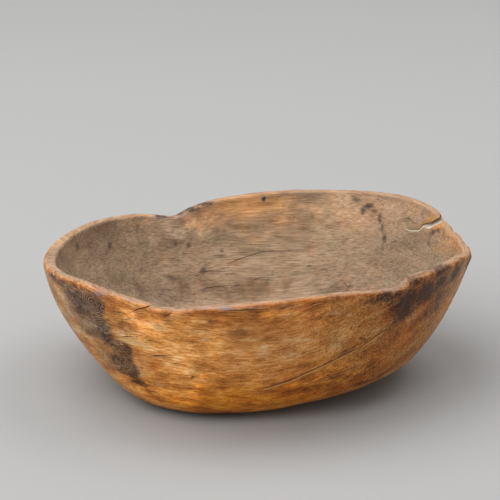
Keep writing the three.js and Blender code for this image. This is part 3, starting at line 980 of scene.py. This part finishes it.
# End grain shows as specks towards the right end, and long grain as streaks in the middle and at the left.
END_GRAIN_FROM = 0.09
from_middle = put(tree, "ShaderNodeSeparateXYZ", {0: place}).outputs[0]
speckled = fade(tree, from_middle, 0.0, END_GRAIN_FROM, 0.0, 0.8)
streaky = fade(tree, from_middle, 0.01, END_GRAIN_FROM, 0.55, 0.2)
grit = work_out(tree, "MULTIPLY_ADD", blotches(1.7, 2, 1.0), speckled, 0.5)
outside_tone = weighed(
    (broad, 0.55), (cloud, 0.9), (streak, streaky), (fleck, 0.6), (speck, 0.4), (grit, 1.4)
)
outside_colour = shades(
    tree,
    outside_tone,
    (0.16, (0.18, 0.055, 0.007)),
    (0.36, (0.37, 0.124, 0.019)),
    (0.5, (0.51, 0.19, 0.036)),
    (0.66, (0.64, 0.285, 0.075)),
    (0.86, (0.78, 0.46, 0.19)),
)
inside_tone = weighed((broad, 0.35), (cloud, 0.5), (hair, 0.7), (streak, 0.3), (fleck, 0.3), (speck, 0.12))
inside_colour = shades(
    tree,
    inside_tone,
    (0.16, (0.12, 0.075, 0.042)),
    (0.36, (0.216, 0.14, 0.084)),
    (0.5, (0.285, 0.188, 0.115)),
    (0.66, (0.352, 0.24, 0.156)),
    (0.86, (0.465, 0.345, 0.24)),
)
mottle = blotches(16, 3, 2.0)
warm_patches = fade(tree, mottle, 0.05, 0.45)
cool_patches = fade(tree, mottle, -0.05, -0.45)
outside_colour = tint(tree, warm_patches, outside_colour, (1.12, 0.93, 0.62, 1), "MULTIPLY")
outside_colour = tint(tree, cool_patches, outside_colour, (0.93, 1.03, 1.35, 1), "MULTIPLY")
inside_colour = tint(tree, warm_patches, inside_colour, (1.1, 0.97, 0.88, 1), "MULTIPLY")
inside_colour = tint(tree, cool_patches, inside_colour, (0.9, 0.97, 0.93, 1), "MULTIPLY")
colour = tint(tree, fade(tree, within, 0.35, 0.85), outside_colour, inside_colour)

PORE_SHADE = (0.5, 0.42, 0.36, 1)
pores = fade(tree, fibres(13, 0.8, 1, (3.9, 5.2, 8.8)), 0.37, 0.27)
colour = tint(tree, product(tree, pores, 0.6), colour, PORE_SHADE, "MULTIPLY")
# The washes carry tints of the wood together with painted light and shade.
wash_and_painted_light_colour = put(tree, "ShaderNodeAttribute", attribute_name="wash_and_painted_light").outputs["Color"]
colour = tint(tree, 1.0, colour, wash_and_painted_light_colour, "MULTIPLY")

# Growth rings stand out as pale broken lines where the end grain has darkened round old knots. Each set has a
# middle, a spacing and a reach in millimetres, and fades out round that reach.
RINGS = [((-129, -102, 98), 2.3, 20), ((-108, -101, 46), 2.0, 9)]
RINGS_GONE = 1.3 * MILLIMETRE
RINGS_CLEAR = 0.8 * MILLIMETRE
RING_COLOUR = (0.40, 0.24, 0.13, 1)
dark_tone = weighed((fleck, 0.7), (speck, 0.9), (grit, 1.0))
darkened = work_out(tree, "MULTIPLY_ADD", ragged, 0.9, painted("darkened"))
darkened = work_out(tree, "MULTIPLY_ADD", work_out(tree, "SUBTRACT", dark_tone, 0.5), -1.0, darkened)
darkened = fade(tree, darkened, 0.05, 1.1)
shadow_tone = shades(
    tree,
    darkened,
    (0.0, (1, 1, 1)),
    (0.35, (0.48, 0.51, 0.74)),
    (0.85, (0.165, 0.155, 0.178)),
)
colour = tint(tree, 1.0, colour, shadow_tone, "MULTIPLY")
ring_lines = 0.0
for middle, spacing, reach in RINGS:
    centre = Vector(middle) * MILLIMETRE
    sizes = {"Centre": centre, "Spacing": spacing * MILLIMETRE}
    lines = use_group(tree, grown_rings, {"Place": place, **sizes})
    near = vector_step(tree, "DISTANCE", place, centre)
    near = fade(tree, near, reach * RINGS_GONE, reach * RINGS_CLEAR)
    ring_lines = work_out(tree, "MAXIMUM", ring_lines, product(tree, lines, near))
ring_lines = product(tree, ring_lines, darkened)
colour = tint(tree, product(tree, ring_lines, 0.9), colour, RING_COLOUR)

# Brown and inky stains, and pale worn spots, each with a ragged border.
BROWN_SHADE = (0.5, 0.4, 0.35, 1)
INK_COLOUR = (0.06, 0.046, 0.041, 1)


def ragged_patch(label, raggedness, low, high):
    """How fully a painted patch covers the wood."""
    return fade(tree, work_out(tree, "MULTIPLY_ADD", ragged, raggedness, painted(label)), low, high)


pale_colour = shades(tree, fleck, (0.3, (0.58, 0.31, 0.11)), (0.7, (0.80, 0.51, 0.24)))
colour = tint(tree, ragged_patch("browned", 0.6, 0.05, 0.9), colour, BROWN_SHADE, "MULTIPLY")
colour = tint(tree, ragged_patch("paled", 0.9, 0.2, 0.9), colour, pale_colour)
colour = tint(tree, ragged_patch("inked", 0.4, 0.08, 0.95), colour, INK_COLOUR)

# The hairline checks are painted dark as the shade inside each opening, more so outside, and the lower edge
# of each one there has a painted highlight, as if it caught the light.
CHECK_SHADE_COLOUR = (0.06, 0.026, 0.012, 1)
PAINTED_HIGHLIGHT_COLOUR = (0.80, 0.41, 0.10, 1)
check_offset = work_out(tree, "ADD", painted("check_offset"), blotches(16, 2, 0.0018))
check_width = painted("check_width")
beyond = work_out(tree, "SUBTRACT", work_out(tree, "ABSOLUTE", check_offset), check_width)
checks = fade(tree, beyond, 0.0002, -0.0002)
check_shade = product(tree, checks, ranged(tree, within, 0.9, 0.6))
colour = tint(tree, check_shade, colour, CHECK_SHADE_COLOUR)
painted_edge_highlight = product(
    tree,
    fade(tree, check_offset, -0.0022, -0.0010),
    fade(tree, check_offset, -0.0002, -0.0006),
    fade(tree, check_width, 0.0001, 0.0003),
    fade(tree, within, 0.5, 0.0),
)
colour = tint(tree, product(tree, painted_edge_highlight, 0.55), colour, PAINTED_HIGHLIGHT_COLOUR)

# Handling has rubbed the lip smooth and grey-brown, and has left brown grime just under it on the outside.
# A greyish painted sheen along the front of the lip stands for light reflected off its polish.
GRIME_SHADE = (0.7, 0.6, 0.55, 1)
PAINTED_SHEEN_COLOUR = (0.29, 0.21, 0.185, 1)
grime = product(tree, fade(tree, edge_distance, 0.014, 0.005), fade(tree, within, 0.6, 0.2))
grime = product(tree, grime, fade(tree, ragged, -0.25, 0.15))
colour = tint(tree, grime, colour, GRIME_SHADE, "MULTIPLY")
lip_tone = weighed((cloud, 0.6), (streak, 0.5), (fleck, 0.6), (speck, 0.5))
lip_colour = shades(
    tree,
    lip_tone,
    (0.25, (0.17, 0.10, 0.058)),
    (0.5, (0.28, 0.18, 0.11)),
    (0.75, (0.39, 0.27, 0.175)),
)
lip_colour = tint(tree, 1.0, lip_colour, vector_step(tree, "MINIMUM", wash_and_painted_light_colour, (1, 1, 1)), "MULTIPLY")
lip_reach = product(tree, edge_distance, ranged(tree, within, 1.25, 1.8))
on_lip = fade(tree, work_out(tree, "MULTIPLY_ADD", ragged, 0.007, lip_reach), 0.0068, 0.001)
on_lip = product(tree, on_lip, ranged(tree, darkened, 0.85, 0.05))
colour = tint(tree, on_lip, colour, lip_colour)
sheen_tone = weighed((streak, 1.0), (fleck, 1.0))
painted_sheen = work_out(tree, "ADD", work_out(tree, "SUBTRACT", sheen_tone, 0.5), painted("painted_sheen"))
painted_sheen = fade(tree, painted_sheen, 0.15, 0.95)
colour = tint(tree, product(tree, painted_sheen, 0.8), colour, PAINTED_SHEEN_COLOUR)

# Torn wood in the splits is pale and fibrous, because nothing has rubbed or stained it.
WORN_FACE_COLOUR = (0.72, 0.41, 0.16, 1)
# The gap at the back of the split is painted dark as its shade.
GAP_SHADE_COLOUR = (0.2, 0.165, 0.13, 1)
torn_tone = weighed((hair, 0.8), (fleck, 0.8))
torn_colour = shades(
    tree,
    torn_tone,
    (0.25, (0.27, 0.21, 0.15)),
    (0.5, (0.43, 0.36, 0.28)),
    (0.75, (0.56, 0.49, 0.40)),
)
cut_face = painted("cut_face")
for kind, face_colour in ((TORN, torn_colour), (WORN_FACE, WORN_FACE_COLOUR), (GAP, GAP_SHADE_COLOUR)):
    colour = tint(tree, fade(tree, cut_face, kind - 0.6, kind - 0.4), colour, face_colour)

# The outside is polished, the inside is dry and the lip is the smoothest.
POLISHED = 0.5
DRY = 0.78
RUBBED = 0.42
tree.links.new(colour, skin.inputs["Base Color"])
roughness = fade(tree, within, 0.3, 0.8, POLISHED, DRY)
roughness = tint(tree, on_lip, roughness, (RUBBED, RUBBED, RUBBED, 1))
tree.links.new(roughness, skin.inputs["Roughness"])
skin.inputs["Specular IOR Level"].default_value = 0.3

# Raised grain, opened checks whose lower edge stands proud, and raised rings, as heights in millimetres.
height = weighed((streak, 0.1), (fleck, 0.05), (hair, 0.07))
height = product(tree, height, ranged(tree, within, 1.0, 0.5))
height = work_out(tree, "MULTIPLY_ADD", checks, -0.6, height)
lower_lip = product(
    tree,
    fade(tree, check_offset, -0.0026, -0.0006),
    fade(tree, check_offset, 0.0, -0.0004),
    fade(tree, check_width, -0.0004, 0.0),
)
height = work_out(tree, "MULTIPLY_ADD", lower_lip, 0.4, height)
height = work_out(tree, "MULTIPLY_ADD", ring_lines, 0.12, height)
bump = put(tree, "ShaderNodeBump", {"Height": height, "Distance": MILLIMETRE, "Strength": 1.0})
tree.links.new(bump.outputs["Normal"], skin.inputs["Normal"])


# The bowl stands on a plain pale sweep of paper, under two soft lamps overhead and one at the front left.
PAPER_REACH = 3.0
PAPER_COLOUR = (0.312, 0.31, 0.307, 1)
LAMPS = [
    ("overhead_left", (-1.1, 0.3, 2.8), 2.8, 71),
    ("overhead_right", (1.3, 0.8, 2.5), 2.0, 32),
    ("front_left", (-2.1, -2.1, 2.5), 2.8, 71),
]

paper_mesh = bpy.data.meshes.new("paper_sweep")
corners = [(side * PAPER_REACH, end * PAPER_REACH, 0) for side, end in ((-1, -1), (1, -1), (1, 1), (-1, 1))]
paper_mesh.from_pydata(corners, [], [(0, 1, 2, 3)])
floor = add_object("paper_sweep", paper_mesh)
paper = bpy.data.materials.new("pale_paper")
paper.use_nodes = True
paper_skin = paper.node_tree.nodes["Principled BSDF"]
paper_skin.inputs["Base Color"].default_value = PAPER_COLOUR
paper_skin.inputs["Roughness"].default_value = 0.9
paper_mesh.materials.append(paper)


def aim(holder, place, target):
    """Puts a lamp or the camera at a place and turns it towards a target."""
    holder.location = place
    holder.rotation_euler = (Vector(target) - Vector(place)).to_track_quat("-Z", "Y").to_euler()


for name, place, size, power in LAMPS:
    light = bpy.data.lights.new(name, "AREA")
    light.shape = "DISK"
    light.size = size
    light.energy = power
    aim(add_object(name, light), place, (0, 0, 0.05))
world = bpy.data.worlds.new("studio")
world.use_nodes = True
background = world.node_tree.nodes["Background"]
background.inputs["Color"].default_value = (1, 1, 1, 1)
background.inputs["Strength"].default_value = 0.57
bpy.context.scene.world = world
bpy.context.scene.view_settings.view_transform = "Standard"

# A long lens looks down at the bowl from the front, at twenty degrees.
view = bpy.data.cameras.new("viewpoint")
view.sensor_width = 36.0
view.lens = 136.8
camera = add_object("viewpoint", view)
aim(camera, (-0.0065, -1.5035, 0.6542), (-0.0065, 0, 0.107))
bpy.context.scene.camera = camera
